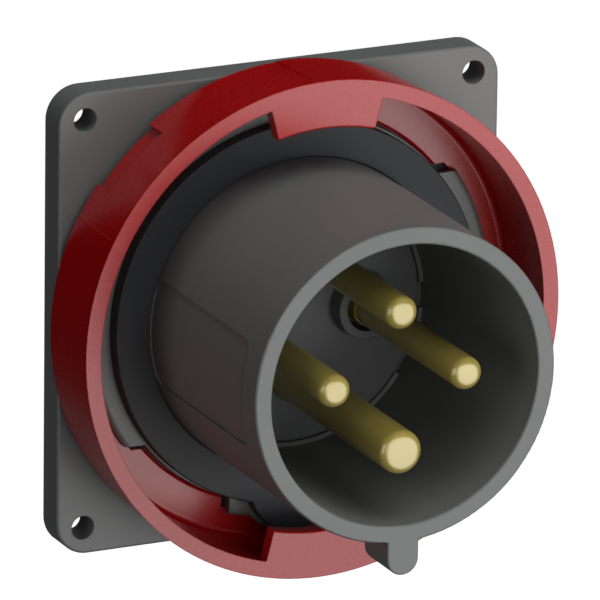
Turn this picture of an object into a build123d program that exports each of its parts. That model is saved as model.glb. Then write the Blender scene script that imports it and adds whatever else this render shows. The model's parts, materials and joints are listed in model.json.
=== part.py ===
"""Panel-mounting power inlet with three phase pins, an earth pin and a turning locking ring.

Frame: the wall plane is XZ, the inlet looks towards -Y and +Z is up.
Origin: centre of the flange's rear face, on the inlet's axis.
Every "reach" below is a distance in front of the wall plane, so reach = -y.
Angles are seen from the front, anticlockwise from +X.
"""
from build123d import *
from math import asin, cos, degrees, radians, sin
import os

# Flange
flange_size = 86.0
flange_thickness = 6.2
flange_corner_radius = 6.0
flange_edge_fillet = 0.5
mounting_hole_inset = 5.0
mounting_hole_diameter = 4.4

# Shroud round the pins
shroud_diameter = 57.8
shroud_wall = 3.15
shroud_draft = 0.2
shroud_length = 52.8
shroud_rim_fillet = 0.3
key_width = 6.0
key_height = 6.1
key_length = 9.4
label_recess_depth = 0.35
label_recess_width = 19.5
label_recess_length = 39.0
label_recess_from_rim = 5.8
label_corner_radius = 2.5

# Collar behind the locking ring's claws: neck, bearing step, lugs and keyed lobe
neck_rise = 7.1
step_width = 4.0
step_height = 1.5
lug_height = 3.15
lug_thickness = 1.4
lug_edge_fillet = 1.1
lug_top = 21.9
lug_side = -11.9
lug_first = -111.0
lug_last = 40.0
lobe_radius = 9.8
stop_rib_arc = 5.0
stop_play = 0.6

# Locking ring
ring_lug_room = 3.75
ring_draft = 0.35
ring_front_wall = 2.95
ring_rear_wall = 2.4
ring_height = 17.55
ring_end_play = 0.3
ring_turn = 45.0
shelf_thickness = 2.2
shelf_behind_lug = 0.85
shelf_edge_chamfer = 0.5
shelf_fillet = 0.9
catch_bottom = 23.1
catch_side = 12.7
neck_clearance = 0.3
claw_middle = 90.0
claw_arc = 28.8
claw_depth = 5.8
claw_thickness = 2.8
claw_fillet = 0.4
notch_arc = 17.6
notch_middle = 134.9
notch_depth = 1.2
notch_height = 6.2
grip_first = 92.3
grip_last = 152.3
grip_depth = 0.2
grip_behind_rim = 1.8

# Face gasket on the collar
gasket_inset = 0.4
gasket_thickness = 2.8
gasket_lobe_inset = 0.9
gasket_edge_fillet = 0.25
soft_clearance = 0.05

# Rear skirt, screw bosses and the groove of the flange seal
skirt_wall = 4.25
skirt_length = 9.0
boss_radius = 4.2
boss_inset = 1.5
boss_angles = (45.0, 135.0, 225.0, 315.0)
pilot_hole_spare = 1.0
seal_land = 4.3
seal_width = 3.0
seal_depth = 1.6

# Contact carrier
carrier_face_gap = 1.1
carrier_shoulder = 2.15
carrier_bore_clearance = 0.15
carrier_face_above_flange = 6.65
lip_gap = 0.3
lip_thickness = 1.2
lip_notches = ((-6.0, 5.0), (-35.0, -20.0))
sleeve_gap = 1.0
sleeve_wall = 1.6
sleeve_proud = 4.3
sleeve_root_fillet = 0.5
sleeve_bore_depth = 2.0
carrier_seal_section = 1.9
carrier_seal_reach = 3.0
seal_side_clearance = 0.1

# Pins
pin_circle_diameter = 25.46
phase_pin_diameter = 6.0
earth_pin_diameter = 8.0
phase_pin_reach = 57.6
earth_pin_reach = 58.1
pin_tip_fillet = 1.3
pin_fit = 0.05
pin_guide_extra = 0.2
pin_guide_proud = 0.4
pin_seal_section = 1.2
pin_shoulder_extra = 1.6
pin_shoulder_length = 3.0
pin_shoulder_depth = 7.0
terminal_diameter = 11.0
terminal_length = 16.5
terminal_clearance = 0.3
terminal_edge_fillet = 0.4
wire_hole_diameter = 5.4
wire_hole_depth = 13.0

# Terminal screws
terminal_screw_diameter = 4.8
terminal_screw_length = 3.9
terminal_head_diameter = 6.0
terminal_head_height = 2.0
screw_slot_width = 0.9
screw_slot_depth = 1.0
thread_clearance = 0.05

# Fixing screws of the rear insulator
fixing_screw_diameter = 3.5
fixing_screw_length = 13.0
fixing_head_diameter = 6.4
fixing_head_height = 2.4
fixing_head_fillet = 0.9
fixing_cross_length = 3.8

# Rear insulator
insulator_inset = 1.0
insulator_flange_thickness = 3.2
screw_clearance = 0.3
head_clearance = 0.5
wire_well_depth = 5.2

# How far a form reaches into the one that it grows from, and how near counts as touching
bite = 1.0
touch = 1e-3

# Worked-out widths
mounting_spacing = flange_size - 2 * mounting_hole_inset
shroud_mouth_diameter = shroud_diameter - 2 * shroud_wall
shroud_root_diameter = shroud_mouth_diameter - 2 * shroud_draft
key_centre = shroud_diameter / 2 + key_height - key_width / 2
neck_diameter = shroud_diameter + 2 * neck_rise
step_diameter = neck_diameter + 2 * step_width
lug_diameter = neck_diameter + 2 * lug_height
shelf_diameter = lug_diameter - 2 * shelf_behind_lug
ring_root_diameter = lug_diameter + 2 * ring_lug_room
ring_mouth_diameter = ring_root_diameter + 2 * ring_draft
ring_front_diameter = ring_mouth_diameter + 2 * ring_front_wall
ring_rear_diameter = ring_root_diameter + 2 * ring_rear_wall
claw_diameter = ring_mouth_diameter - 2 * claw_depth
gasket_diameter = neck_diameter - 2 * gasket_inset
carrier_face_diameter = shroud_root_diameter - 2 * carrier_face_gap
carrier_body_diameter = carrier_face_diameter + 2 * carrier_shoulder
carrier_bore_radius = carrier_body_diameter / 2 + carrier_bore_clearance
skirt_diameter = 2 * (carrier_bore_radius + skirt_wall)
boss_circle_diameter = skirt_diameter - 2 * boss_inset
seal_inner_diameter = skirt_diameter + 2 * seal_land
seal_outer_diameter = seal_inner_diameter + 2 * seal_width
insulator_diameter = skirt_diameter - 2 * insulator_inset
drum_diameter = boss_circle_diameter - fixing_head_diameter - 2 * head_clearance

# Worked-out places
plate_front = flange_thickness
rim_reach = plate_front + shroud_length
step_front = plate_front + step_height
ring_rear = step_front + ring_end_play
shelf_front = ring_rear + shelf_thickness
lug_rear = shelf_front + ring_end_play
collar_front = lug_rear + lug_thickness
gasket_front = collar_front + gasket_thickness
ring_front = ring_rear + ring_height
carrier_face = plate_front + carrier_face_above_flange
sleeve_front = carrier_face + sleeve_proud
lip_rear = carrier_face - lip_thickness
terminal_front = -skirt_length - terminal_clearance
terminal_rear = terminal_front - terminal_length
drum_rear = terminal_rear - wire_well_depth
phase_places = {"phase_pin_1": 180.0, "phase_pin_2": 90.0, "phase_pin_3": 0.0}
earth_angle = 270.0


def at(radius, angle):
    """Point of the front view at a radius and an angle."""
    return (radius * cos(radians(angle)), radius * sin(radians(angle)))


def raise_from(sketch, start, end):
    """Solid standing on a front-view sketch between two reaches."""
    return extrude(Plane.XZ.offset(start) * sketch, end - start)


def disc(radius, start, end, place=(0, 0)):
    """Round bar along the inlet's axis."""
    return raise_from(Pos(*place) * Circle(radius), start, end)


def sector(inner, outer, first, last):
    """Annular sector of the front view."""
    middle = (first + last) / 2
    outer_arc = ThreePointArc(at(outer, first), at(outer, middle), at(outer, last))
    inner_arc = ThreePointArc(at(inner, last), at(inner, middle), at(inner, first))
    sides = [Line(outer_arc @ 1, inner_arc @ 0), Line(inner_arc @ 1, outer_arc @ 0)]
    return make_face([outer_arc, inner_arc] + sides)


def turned(points):
    """Solid of revolution about the inlet's axis from (radius, reach) points."""
    profile = make_face(Polyline(*[(radius, -reach) for radius, reach in points], close=True))
    return revolve(profile, Axis.Y, 360)


def half_turn(shape):
    """The shape and its copy turned by half a turn about the inlet's axis."""
    return shape + Rot(0, 180, 0) * shape


def radial_bar(radius, angle, inner, outer, reach):
    """Round bar that points away from the inlet's axis."""
    middle = (inner + outer) / 2
    x, z = at(middle, angle)
    return Pos(x, -reach, z) * Rot(0, 90 - angle, 0) * Cylinder(radius, outer - inner)


def edges_at_reach(shape, reach):
    """Edges that lie wholly in the plane at one reach."""
    return [edge for edge in shape.edges() if _flat(edge, reach)]


def _flat(edge, reach):
    box = edge.bounding_box()
    return abs(box.min.Y + reach) < touch and abs(box.max.Y + reach) < touch


def outer_edges(shape, reach, radius):
    """Edges in the plane at one reach whose points all lie at one radius from the axis."""
    found = []
    for edge in edges_at_reach(shape, reach):
        ends = [edge @ 0, edge @ 0.5, edge @ 1]
        if all(abs((p.X**2 + p.Z**2) ** 0.5 - radius) < touch for p in ends):
            found.append(edge)
    return found


def flange():
    """Square plate with rounded corners, four screw holes and the groove of its rear seal."""
    plate = raise_from(RectangleRounded(flange_size, flange_size, flange_corner_radius), 0, plate_front)
    plate = fillet(edges_at_reach(plate, plate_front), flange_edge_fillet)
    for place in GridLocations(mounting_spacing, mounting_spacing, 2, 2):
        plate -= disc(mounting_hole_diameter / 2, 0, plate_front, (place.position.X, place.position.Y))
    groove = Circle(seal_outer_diameter / 2) - Circle(seal_inner_diameter / 2)
    return plate - raise_from(groove, 0, seal_depth)


def collar():
    """Neck and bearing step of the ring, the two long lugs in front of it, their stops and the keyed lobe."""
    step = disc(step_diameter / 2, plate_front, step_front)
    neck = disc(neck_diameter / 2, step_front, collar_front)
    root = neck_diameter / 2 - bite
    plan = sector(root, lug_diameter / 2, lug_first, lug_last) & lug_bounds()
    lugs = half_turn(raise_from(plan, lug_rear, collar_front))
    lugs = fillet(outer_edges(lugs, collar_front, lug_diameter / 2), lug_edge_fillet)
    lobe = disc(lobe_radius, lug_rear, collar_front, (0, -key_centre))
    body = step + neck + lugs + lobe
    rib_radius = shelf_diameter / 2 - neck_clearance
    last_stop = degrees(asin(catch_bottom / rib_radius)) - ring_turn - stop_play
    open_rib = sector(root, rib_radius, lug_first, lug_first + stop_rib_arc) & lug_bounds()
    shut_rib = sector(root, rib_radius, last_stop - stop_rib_arc, last_stop)
    for rib in (open_rib, shut_rib):
        body += half_turn(raise_from(rib, step_front, lug_rear))
    return body


def lug_bounds():
    """Part of the front view that holds the right-hand lug: its two ends are cut straight."""
    far = lug_diameter
    middle = ((lug_side + far) / 2, (lug_top - far) / 2)
    return Pos(*middle) * Rectangle(far - lug_side, far + lug_top)


def shroud():
    """Tube round the pins with its key at six o'clock."""
    tube = disc(shroud_diameter / 2, plate_front, rim_reach)
    root = shroud_diameter / 2 - bite
    blade = Pos(0, -(key_centre + root) / 2) * Rectangle(key_width, key_centre - root)
    blade += Pos(0, -key_centre) * Circle(key_width / 2)
    return tube + raise_from(blade, rim_reach - key_length, rim_reach)


def label_recess():
    """Shallow blank recess on the left side of the shroud."""
    rear = rim_reach - label_recess_from_rim - label_recess_length
    middle = rear + label_recess_length / 2
    face = RectangleRounded(label_recess_length, label_recess_width, label_corner_radius)
    block = extrude(Plane.YZ.offset(-shroud_diameter) * Pos(-middle, 0) * face, shroud_diameter)
    return block - disc(shroud_diameter / 2 - label_recess_depth, 0, rim_reach)


def skirt():
    """Rear tube that takes the carrier, with the bosses of the fixing screws."""
    body = disc(skirt_diameter / 2, -skirt_length, 0)
    for angle in boss_angles:
        body += disc(boss_radius, -skirt_length, 0, at(boss_circle_diameter / 2, angle))
    return body


def housing_bore():
    """Everything hollow inside the housing: the pin chamber, the lip's hole and the carrier's bore."""
    lip_radius = carrier_face_diameter / 2 + lip_gap
    chamber = [(0, rim_reach), (shroud_mouth_diameter / 2, rim_reach),
               (shroud_root_diameter / 2, carrier_face), (0, carrier_face)]
    rear = [(0, carrier_face), (lip_radius, carrier_face), (lip_radius, lip_rear),
            (carrier_bore_radius, lip_rear), (carrier_bore_radius, -skirt_length), (0, -skirt_length)]
    hollow = turned(chamber) + turned(rear)
    for first, last in lip_notches:
        notch = sector(lip_radius - bite, shroud_root_diameter / 2, first, last)
        hollow += half_turn(raise_from(notch, lip_rear, carrier_face))
    return hollow


def inlet_housing():
    """The one-piece moulding: flange, collar, shroud and rear skirt."""
    body = flange() + collar() + shroud() + skirt()
    body -= housing_bore()
    body = fillet(edges_at_reach(body, rim_reach), shroud_rim_fillet)
    body -= label_recess()
    for angle in boss_angles:
        place = at(boss_circle_diameter / 2, angle)
        depth = fixing_screw_length - insulator_flange_thickness + pilot_hole_spare
        body -= disc(fixing_screw_diameter / 2 + thread_clearance, -skirt_length, -skirt_length + depth, place)
    return body


def ring_wall_radius(reach):
    """Radius of the drafted inner wall of the locking ring at one reach."""
    share = (reach - ring_rear) / ring_height
    return ring_root_diameter / 2 + share * (ring_mouth_diameter - ring_root_diameter) / 2


def ring_section():
    """Half section of the ring: drafted wall and thin inner shelf with a rounded corner."""
    corner = (ring_wall_radius(shelf_front), -shelf_front)
    outline = [(ring_rear_diameter / 2, -ring_rear), (ring_front_diameter / 2, -ring_front),
               (ring_mouth_diameter / 2, -ring_front), corner,
               (shelf_diameter / 2, -shelf_front), (shelf_diameter / 2, -ring_rear)]
    face = make_face(Polyline(*outline, close=True))
    return fillet(face.vertices().sort_by_distance(corner)[0], shelf_fillet)


def ring_catch():
    """Wide stretch of the shelf that passes behind a lug of the collar, with straight ends like the lug's."""
    inner = neck_diameter / 2 + neck_clearance
    far = shelf_diameter / 2 + bite
    plan = Circle(far) - Circle(inner)
    plan &= Pos(catch_side + far / 2, catch_bottom + far / 2) * Rectangle(far, far)
    catch = raise_from(plan, ring_rear, shelf_front)
    return chamfer(outer_edges(catch, shelf_front, inner), shelf_edge_chamfer)


def ring_claw():
    """Front claw, flush with the ring's rim."""
    first = claw_middle - claw_arc / 2
    plan = sector(claw_diameter / 2, ring_mouth_diameter / 2 + bite, first, first + claw_arc)
    claw = raise_from(plan, ring_front - claw_thickness, ring_front)
    return fillet(outer_edges(claw, ring_front, claw_diameter / 2), claw_fillet)


def grip_recess():
    """Shallow recess in the outside of the ring's wall, open at the rear."""
    front = ring_front - grip_behind_rim
    slope = (ring_front_diameter - ring_rear_diameter) / 2 / ring_height
    floor = ring_rear_diameter / 2 - grip_depth
    outside = ring_front_diameter / 2 + bite
    band = turned([(floor - bite * slope, ring_rear - bite), (outside, ring_rear - bite),
                   (outside, front), (floor + (front - ring_rear) * slope, front)])
    return band & raise_from(sector(floor - bite, outside + bite, grip_first, grip_last), 0, ring_front)


def locking_ring():
    """Bayonet ring: wall and shelf, two catches, two claws, grip recesses and notches in its rear edge."""
    ring = revolve(ring_section(), Axis.Y, 360)
    ring += half_turn(ring_catch())
    ring += half_turn(ring_claw())
    ring -= half_turn(grip_recess())
    first = notch_middle - notch_arc / 2
    notch = sector(ring_rear_diameter / 2 - notch_depth, ring_front_diameter / 2 + bite, first, first + notch_arc)
    return ring - half_turn(raise_from(notch, 0, ring_rear + notch_height))


def face_gasket():
    """Flat rubber seal round the shroud with a lobe under the key."""
    plan = Circle(gasket_diameter / 2) + Pos(0, -key_centre) * Circle(lobe_radius - gasket_lobe_inset)
    plan -= Circle(shroud_diameter / 2 + soft_clearance)
    seal = raise_from(plan, collar_front, gasket_front)
    return fillet(edges_at_reach(seal, gasket_front), gasket_edge_fillet)


def flange_seal():
    """Flat ring seal, drawn pressed flush in its groove."""
    plan = Circle(seal_outer_diameter / 2 - soft_clearance) - Circle(seal_inner_diameter / 2 + soft_clearance)
    return raise_from(plan, 0, seal_depth)


def pin_sizes(name):
    """Diameter, tip reach and angle of one pin."""
    if name == "earth_pin":
        return earth_pin_diameter, earth_pin_reach, earth_angle
    return phase_pin_diameter, phase_pin_reach, phase_places[name]


def pin_names():
    return list(phase_places) + ["earth_pin"]


def has_sleeve(name):
    """The carrier has a sleeve round each phase pin and none round the earth pin."""
    return name in phase_places


def contact_pin(name):
    """Turned pin: rounded tip, shank, guide, shoulder and a terminal block with its wire hole."""
    diameter, tip, angle = pin_sizes(name)
    place = at(pin_circle_diameter / 2, angle)
    guide_front = (sleeve_front if has_sleeve(name) else carrier_face) + pin_guide_proud
    shoulder_rear = -pin_shoulder_depth
    pin = disc(diameter / 2, terminal_front, tip, place)
    pin = fillet(edges_at_reach(pin, tip), pin_tip_fillet)
    pin += disc(diameter / 2 + pin_guide_extra, terminal_front, guide_front, place)
    pin += disc(diameter / 2 + pin_shoulder_extra, shoulder_rear, shoulder_rear + pin_shoulder_length, place)
    block = disc(terminal_diameter / 2, terminal_rear, terminal_front, place)
    block = fillet(edges_at_reach(block, terminal_rear), terminal_edge_fillet)
    pin += block
    pin -= disc(wire_hole_diameter / 2, terminal_rear, terminal_rear + wire_hole_depth, place)
    out = pin_circle_diameter / 2
    thread_radius = terminal_screw_diameter / 2 + thread_clearance
    return pin - radial_bar(thread_radius, angle, out, out + terminal_diameter, screw_reach())


def screw_reach():
    """Reach of the terminal screws' axes, over the middle of the wire holes."""
    return terminal_rear + wire_hole_depth / 2


def terminal_screw(angle):
    """Slotted cheese-head screw, backed off to the edge of the wire hole."""
    tip = pin_circle_diameter / 2 + wire_hole_diameter / 2
    head = tip + terminal_screw_length
    top = head + terminal_head_height
    screw = radial_bar(terminal_screw_diameter / 2, angle, tip, head, screw_reach())
    screw += radial_bar(terminal_head_diameter / 2, angle, head, top, screw_reach())
    x, z = at(top - screw_slot_depth / 2, angle)
    slot = Box(screw_slot_width, terminal_head_diameter, screw_slot_depth)
    return screw - Pos(x, -screw_reach(), z) * Rot(0, 90 - angle, 0) * slot


def contact_carrier():
    """Insulating carrier: keyed face, sleeves round the phase pins and pockets for the pins' shoulders."""
    points = [(0, carrier_face), (carrier_face_diameter / 2, carrier_face),
              (carrier_face_diameter / 2, lip_rear), (carrier_body_diameter / 2, lip_rear),
              (carrier_body_diameter / 2, -skirt_length), (0, -skirt_length)]
    body = turned(points)
    groove = Circle(carrier_body_diameter / 2 + bite) - Circle(carrier_bore_radius - carrier_seal_section)
    half_groove = carrier_seal_section / 2 + seal_side_clearance
    body -= raise_from(groove, carrier_seal_reach - half_groove, carrier_seal_reach + half_groove)
    for name in pin_names():
        diameter, _, angle = pin_sizes(name)
        place = at(pin_circle_diameter / 2, angle)
        guide = diameter / 2 + pin_guide_extra
        if has_sleeve(name):
            bore = guide + sleeve_gap
            body += disc(bore + sleeve_wall, carrier_face, sleeve_front, place)
            root = [edge for edge in edges_at_reach(body, carrier_face) if _round(edge, bore + sleeve_wall)]
            body = fillet(root, sleeve_root_fillet)
            body -= disc(bore, carrier_face - sleeve_bore_depth, sleeve_front, place)
        body -= disc(guide + pin_fit, -skirt_length, carrier_face, place)
        pocket = diameter / 2 + pin_shoulder_extra + pin_fit
        pocket_front = -pin_shoulder_depth + pin_shoulder_length + pin_seal_section
        body -= disc(pocket, -skirt_length, pocket_front, place)
    return body


def _round(edge, radius):
    return edge.geom_type == GeomType.CIRCLE and abs(edge.radius - radius) < touch


def pin_seal(name):
    """Flat seal trapped between a pin's shoulder and the bottom of its pocket in the carrier."""
    diameter, _, angle = pin_sizes(name)
    inner = diameter / 2 + pin_guide_extra + soft_clearance
    rear = -pin_shoulder_depth + pin_shoulder_length
    plan = Pos(*at(pin_circle_diameter / 2, angle)) * (Circle(inner + pin_seal_section) - Circle(inner))
    return raise_from(plan, rear + soft_clearance, rear + pin_seal_section - soft_clearance)


def carrier_seal():
    """Ring seal between carrier and housing bore."""
    outer = carrier_bore_radius - soft_clearance
    inner = carrier_bore_radius - carrier_seal_section + soft_clearance
    half = carrier_seal_section / 2
    return raise_from(Circle(outer) - Circle(inner), carrier_seal_reach - half, carrier_seal_reach + half)


def rear_insulator():
    """Drum with an open-sided chamber for each terminal, on a flange that is screwed to the skirt."""
    front = -skirt_length
    flange_rear = front - insulator_flange_thickness
    body = disc(drum_diameter / 2, drum_rear, front)
    body += disc(insulator_diameter / 2, flange_rear, front)
    for angle in boss_angles:
        place = at(boss_circle_diameter / 2, angle)
        body += disc(boss_radius, flange_rear, front, place)
        body -= disc(fixing_screw_diameter / 2 + screw_clearance, flange_rear, front, place)
    well = terminal_diameter / 2 + terminal_clearance
    way_out = drum_diameter / 2 + bite - pin_circle_diameter / 2
    chamber = Circle(well) + Pos(way_out / 2, 0) * Rectangle(way_out, 2 * well)
    for name in pin_names():
        angle = pin_sizes(name)[2]
        body -= disc(well, flange_rear, front, at(pin_circle_diameter / 2, angle))
        plan = Rot(0, 0, angle) * Pos(pin_circle_diameter / 2, 0) * chamber
        body -= raise_from(plan, drum_rear, flange_rear)
    return body


def fixing_screw(angle):
    """Pan-head screw that holds the rear insulator to its boss."""
    place = at(boss_circle_diameter / 2, angle)
    seat = -skirt_length - insulator_flange_thickness
    rear = seat - fixing_head_height
    screw = disc(fixing_screw_diameter / 2, seat, seat + fixing_screw_length, place)
    head = disc(fixing_head_diameter / 2, rear, seat, place)
    head = fillet(edges_at_reach(head, rear), fixing_head_fillet)
    bar = Pos(*place) * Rectangle(fixing_cross_length, screw_slot_width)
    cross = bar + Pos(*place) * Rectangle(screw_slot_width, fixing_cross_length)
    return screw + head - raise_from(cross, rear, rear + screw_slot_depth)


def all_parts():
    parts = {
        "inlet_housing": inlet_housing(),
        "locking_ring": locking_ring(),
        "face_gasket": face_gasket(),
        "flange_seal": flange_seal(),
        "contact_carrier": contact_carrier(),
        "carrier_seal": carrier_seal(),
        "rear_insulator": rear_insulator(),
    }
    for name in pin_names():
        parts[name] = contact_pin(name)
        parts[name.replace("pin", "pin_seal")] = pin_seal(name)
        parts[name.replace("pin", "terminal_screw")] = terminal_screw(pin_sizes(name)[2])
    for number, angle in enumerate(boss_angles, 1):
        parts[f"fixing_screw_{number}"] = fixing_screw(angle)
    return parts


os.makedirs("parts", exist_ok=True)
for node, shape in all_parts().items():
    export_step(shape, f"parts/{node}.step")
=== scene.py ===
"""Looks of a panel-mounting power inlet: finishes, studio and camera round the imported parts."""
import json
from math import pi, radians

import bpy
from mathutils import Matrix, Vector

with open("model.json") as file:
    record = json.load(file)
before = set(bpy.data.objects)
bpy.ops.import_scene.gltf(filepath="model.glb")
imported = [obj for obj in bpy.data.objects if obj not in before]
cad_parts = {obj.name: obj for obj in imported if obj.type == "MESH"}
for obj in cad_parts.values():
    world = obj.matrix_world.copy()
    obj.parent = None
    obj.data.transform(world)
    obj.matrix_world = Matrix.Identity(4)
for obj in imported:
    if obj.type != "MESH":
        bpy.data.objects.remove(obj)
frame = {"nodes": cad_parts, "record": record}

bpy.context.view_layer.update()
nodes = frame["nodes"]
mm = 0.001

# Camera, solved from the round and straight edges of the object
picture_pixels = 600
focal_pixels = 10580
sensor_width = 36.0
camera_turn = 0.44
camera_tilt = 0.315
camera_roll = -0.013
camera_offset = (3.82 * mm, -0.074 * mm)
camera_distance = 1890.9 * mm
camera_reach = 100.0
flange_front = -6.2 * mm

# Studio, in metres, with brightness as a share of white
floor_height = -0.5
floor_size = 30.0
floor_white = (0.8, 0.8, 0.8, 1.0)
floor_glow = 0.93
floor_dim = (0.06, 0.06, 0.06, 1.0)
backdrop_middle = (1.3, 1.40, -0.5)
backdrop_radius = 0.9
backdrop_core = 0.7
room_light = 0.04
white = (1.0, 1.0, 1.0, 1.0)

# Soft boxes: direction from the object, distance, width, height, brightness, mirrored in glossy faces
soft_boxes = {
    "front_box": ((0.40, -0.86, -0.25), 0.85, 0.55, 0.45, 2.45, True),
    "camera_box": ((-0.10, -0.98, 0.10), 1.0, 0.6, 0.6, 2.05, True),
    "right_box": ((0.75, -0.65, 0.10), 1.0, 0.6, 0.6, 3.3, False),
    "top_box": ((0.25, -0.35, 0.90), 1.0, 0.8, 0.8, 3.65, False),
    "left_box": ((-0.90, -0.40, 0.10), 1.0, 0.6, 0.6, 1.8, True),
    "rear_box": ((0.35, 0.93, 0.02), 1.0, 0.8, 0.8, 5.0, False)}

# Finishes: softened edges and depths of relief
mould_edge = 0.3 * mm
sleeve_edge = 0.6 * mm
pin_edge = 1.3 * mm
screw_edge = 0.3 * mm
edge_samples = 4
grain_depth = 0.04 * mm
rubber_grain_depth = 0.05 * mm
rubber_grain = 0.15
turning_depth = 0.02 * mm
turning_grain = 0.1

# Finishes: fineness of the patterns, in lumps to the metre, and how far they reach
plastic_cloud = 45.0
plastic_grain = 5200.0
plastic_gloss_swing = 0.04
rubber_cloud = 60.0
rubber_fine = 4000.0
metal_cloud = 160.0
turning_scale = (150.0, 9000.0, 150.0)
turning_gloss_less = 0.05
turning_gloss_more = 0.06
cloud_band = (0.35, 0.65)
fine_band = (0.3, 0.7)
film_roughness = 0.22
film_ior = 2.0


class Wire:
    """A number or colour that travels between shader nodes, with arithmetic on it."""

    def __init__(self, finish, socket):
        self.finish = finish
        self.socket = socket

    def _with(self, operation, first, second):
        return self.finish.add("ShaderNodeMath", {"operation": operation}, {0: first, 1: second})

    def __add__(self, other):
        return self._with("ADD", self, other)

    def __radd__(self, other):
        return self._with("ADD", other, self)

    def __sub__(self, other):
        return self._with("SUBTRACT", self, other)

    def __rsub__(self, other):
        return self._with("SUBTRACT", other, self)

    def __mul__(self, other):
        return self._with("MULTIPLY", self, other)

    def __rmul__(self, other):
        return self._with("MULTIPLY", other, self)


class Finish:
    """A node tree and the nodes that are put in it."""

    def __init__(self, tree):
        self.tree = tree
        tree.nodes.clear()

    def add(self, kind, settings=None, sockets=None, output=0):
        """Add a node: its settings first, then the values or wires of its sockets."""
        node = self.tree.nodes.new(kind)
        for key, value in (settings or {}).items():
            setattr(node, key, value)
        for key, value in (sockets or {}).items():
            self.feed(node.inputs[key], value)
        return Wire(self, node.outputs[output])

    def feed(self, target, value):
        """Link a wire to a socket, or set a plain value on it."""
        if isinstance(value, Wire):
            self.tree.links.new(value.socket, target)
        else:
            target.default_value = value

    def noise(self, scale, detail=2.0, roughness=0.5, vector=None):
        """Cloudy number from 0 to 1, whose lumps are about 1 / scale metres."""
        vector = vector or self.add("ShaderNodeTexCoord", output="Object")
        sockets = {"Vector": vector, "Scale": scale, "Detail": detail, "Roughness": roughness}
        return self.add("ShaderNodeTexNoise", None, sockets, "Fac")

    def remap(self, value, band, new_low, new_high):
        """Stretch a band of a number's range to another range."""
        low, high = band
        sockets = {"Value": value, "From Min": low, "From Max": high, "To Min": new_low, "To Max": new_high}
        return self.add("ShaderNodeMapRange", None, sockets, "Result")

    def blend(self, share, first, second):
        """Colour between two colours."""
        settings = {"data_type": "RGBA", "blend_type": "MIX"}
        return self.add("ShaderNodeMix", settings, {"Factor": share, 6: (*first, 1.0), 7: (*second, 1.0)}, 2)

    def relief(self, height, strength, depth, edge):
        """Surface direction with fine relief, and with edges softened over a given width."""
        rounded = self.add("ShaderNodeBevel", {"samples": edge_samples}, {"Radius": edge}, "Normal")
        sockets = {"Strength": strength, "Distance": depth, "Height": height, "Normal": rounded}
        return self.add("ShaderNodeBump", None, sockets, "Normal")

    def end(self, shader, kind="ShaderNodeOutputMaterial"):
        """Lead the last shader out of the tree."""
        out = self.tree.nodes.new(kind)
        self.tree.links.new(shader.socket, out.inputs["Surface"])


def new_material(name):
    """An empty material and its finish."""
    material = bpy.data.materials.new(name)
    material.use_nodes = True
    return material, Finish(material.node_tree)


def moulded_plastic(name, colour, dark, roughness, specular, grain, coat=0.0, edge=mould_edge):
    """Moulded plastic: fine spark-eroded grain, faint cloudiness and slightly uneven gloss."""
    material, finish = new_material(name)
    cloud = finish.noise(plastic_cloud, detail=3.0)
    fine = finish.noise(plastic_grain, detail=2.0, roughness=0.6)
    share = finish.remap(cloud, cloud_band, 0.0, 1.0)
    duller, glossier = roughness + plastic_gloss_swing, roughness - plastic_gloss_swing
    finish.end(finish.add("ShaderNodeBsdfPrincipled", None, {
        "Base Color": finish.blend(share, dark, colour),
        "Roughness": finish.remap(fine, fine_band, glossier, duller),
        "Normal": finish.relief(fine, grain, grain_depth, edge),
        "Specular IOR Level": specular,
        "Coat Weight": coat,
        "Coat Roughness": roughness}))
    return material


def seal_rubber(name, colour, paler, roughness):
    """Black rubber with a dull, slightly dusty face."""
    material, finish = new_material(name)
    cloud = finish.noise(rubber_cloud, detail=3.0)
    fine = finish.noise(rubber_fine, detail=3.0)
    finish.end(finish.add("ShaderNodeBsdfPrincipled", None, {
        "Base Color": finish.blend(cloud, colour, paler),
        "Roughness": roughness,
        "Normal": finish.relief(fine, rubber_grain, rubber_grain_depth, mould_edge)}))
    return material


def turned_metal(name, colour, dark, metallic, roughness, coat, edge):
    """Turned metal with fine rings round its axis, and a clear film where it has a coat."""
    material, finish = new_material(name)
    place = finish.add("ShaderNodeTexCoord", output="Object")
    stretched = finish.add("ShaderNodeMapping", None, {"Vector": place, "Scale": turning_scale})
    rings = finish.noise(1.0, detail=2.0, roughness=0.6, vector=stretched)
    cloud = finish.noise(metal_cloud, detail=2.0)
    glossier, duller = roughness - turning_gloss_less, roughness + turning_gloss_more
    finish.end(finish.add("ShaderNodeBsdfPrincipled", None, {
        "Base Color": finish.blend(cloud, dark, colour),
        "Metallic": metallic,
        "Roughness": finish.remap(rings, fine_band, glossier, duller),
        "Normal": finish.relief(rings, turning_grain, turning_depth, edge),
        "Coat Weight": coat,
        "Coat Roughness": film_roughness,
        "Coat IOR": film_ior}))
    return material


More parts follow.
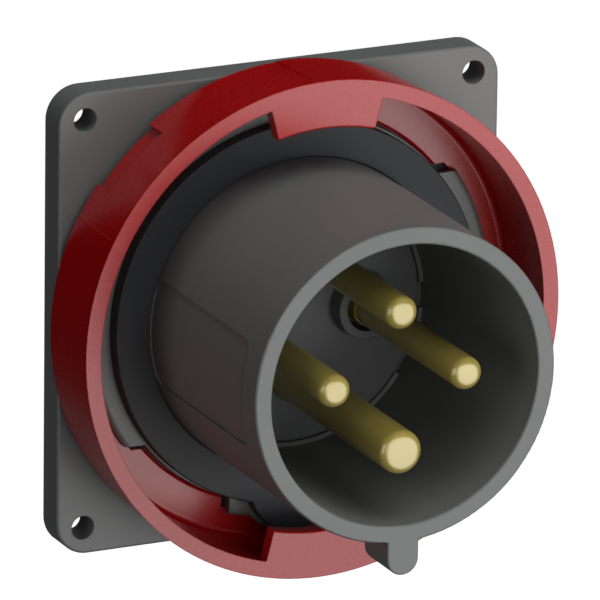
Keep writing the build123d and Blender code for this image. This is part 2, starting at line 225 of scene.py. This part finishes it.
def finishes():
    """Give every part the finish of the material that the record names for it."""
    by_slot = {
        "grey_polyamide": moulded_plastic(
            "grey_housing", colour=(0.133, 0.138, 0.135), dark=(0.126, 0.131, 0.129),
            roughness=0.45, specular=0.8, grain=0.12),
        "red_polyamide": moulded_plastic(
            "red_ring", colour=(0.375, 0.0012, 0.002), dark=(0.355, 0.001, 0.0015),
            roughness=0.28, specular=0.66, grain=0.06, coat=0.3),
        "carrier_polyamide": moulded_plastic(
            "grey_carrier", colour=(0.11, 0.115, 0.115), dark=(0.10, 0.105, 0.105),
            roughness=0.5, specular=0.6, grain=0.12, edge=sleeve_edge),
        "insulator_polyamide": moulded_plastic(
            "dark_insulator", colour=(0.075, 0.076, 0.079), dark=(0.066, 0.067, 0.070),
            roughness=0.5, specular=0.5, grain=0.12),
        "black_rubber": seal_rubber(
            "seal_rubber", colour=(0.022, 0.024, 0.027), paler=(0.0275, 0.03, 0.03375), roughness=0.55),
        "brass": turned_metal(
            "turned_brass", colour=(0.475, 0.38, 0.084), dark=(0.415, 0.33, 0.062),
            metallic=0.38, roughness=0.45, coat=0.88, edge=pin_edge),
        "plated_steel": turned_metal(
            "plated_steel", colour=(0.64, 0.64, 0.66), dark=(0.54, 0.54, 0.56),
            metallic=0.55, roughness=0.35, coat=0.0, edge=screw_edge)}
    for row in frame["record"]["subparts"]:
        slots = nodes[row["node"]].data.materials
        slots.clear()
        slots.append(by_slot[row["material_slot"]])


def soft_box(name, direction, distance, width, height, radiance, mirrored):
    """Area light of even brightness that faces the object; glossy faces can mirror it or not."""
    light = bpy.data.lights.new(name, "AREA")
    light.shape = "RECTANGLE"
    light.size = width
    light.size_y = height
    light.energy = radiance * width * height * pi
    lamp = bpy.data.objects.new(name, light)
    bpy.context.scene.collection.objects.link(lamp)
    towards = Vector(direction).normalized()
    lamp.location = towards * distance
    lamp.rotation_euler = towards.to_track_quat("Z", "Y").to_euler()
    lamp.visible_glossy = mirrored


def seen_share(finish, near):
    """1 for what the camera sees, and for reflections of the floor near the backdrop's middle."""
    camera = finish.add("ShaderNodeLightPath", output="Is Camera Ray")
    glossy = finish.add("ShaderNodeLightPath", output="Is Glossy Ray")
    through = finish.add("ShaderNodeLightPath", output="Is Transmission Ray")
    return camera + (glossy + through) * near


def pale_floor():
    """Floor that looks white, sends little light back, and can be looked through from below."""
    bpy.ops.object.select_all(action="DESELECT")
    bpy.ops.mesh.primitive_plane_add(size=floor_size, location=(0, 0, floor_height))
    floor = bpy.context.object
    floor.name = "studio_floor"
    material, finish = new_material("pale_floor")
    place = finish.add("ShaderNodeNewGeometry", output="Position")
    ends = {0: place, 1: backdrop_middle}
    away = finish.add("ShaderNodeVectorMath", {"operation": "DISTANCE"}, ends, "Value")
    near = finish.remap(away, (backdrop_radius, backdrop_core * backdrop_radius), 0.0, 1.0)
    pale = finish.add("ShaderNodeBsdfDiffuse", None, {"Color": floor_white})
    glow = finish.add("ShaderNodeEmission", None, {"Color": white, "Strength": floor_glow})
    bright = finish.add("ShaderNodeAddShader", None, {0: pale, 1: glow})
    dim = finish.add("ShaderNodeBsdfDiffuse", None, {"Color": floor_dim})
    top_side = finish.add("ShaderNodeMixShader", None, {0: seen_share(finish, near), 1: dim, 2: bright})
    clear = finish.add("ShaderNodeBsdfTransparent")
    from_below = finish.add("ShaderNodeNewGeometry", output="Backfacing")
    finish.end(finish.add("ShaderNodeMixShader", None, {0: from_below, 1: top_side, 2: clear}))
    floor.data.materials.append(material)


def surrounding():
    """World: white where the camera looks past the object, dim for everything else."""
    world = bpy.data.worlds.new("studio_world")
    bpy.context.scene.world = world
    world.use_nodes = True
    world.cycles_visibility.glossy = False
    finish = Finish(world.node_tree)
    seen = finish.add("ShaderNodeLightPath", output="Is Camera Ray")
    strength = seen + (1 - seen) * room_light
    light = finish.add("ShaderNodeBackground", None, {"Color": white, "Strength": strength})
    finish.end(light, "ShaderNodeOutputWorld")


def studio():
    """Pale floor, soft boxes and a plain surrounding."""
    pale_floor()
    for name, row in soft_boxes.items():
        soft_box(name, *row)
    surrounding()


def photo_camera():
    """Camera where the photograph was taken from."""
    turned = Matrix.Rotation(camera_roll, 3, "Z") @ Matrix.Rotation(camera_tilt, 3, "X")
    turned = turned @ Matrix.Rotation(camera_turn, 3, "Y")
    upright = Matrix.Rotation(radians(90), 3, "X")
    pose = upright @ turned.inverted()
    data = bpy.data.cameras.new("camera")
    data.sensor_width = sensor_width
    data.lens = focal_pixels / picture_pixels * sensor_width
    data.clip_end = camera_reach
    camera = bpy.data.objects.new("camera", data)
    bpy.context.scene.collection.objects.link(camera)
    place = pose @ Vector((*camera_offset, camera_distance)) + Vector((0, flange_front, 0))
    camera.matrix_world = Matrix.Translation(place) @ pose.to_4x4()
    bpy.context.scene.camera = camera


finishes()
studio()
photo_camera()
bpy.context.scene.view_settings.view_transform = "Standard"
bpy.context.view_layer.update()
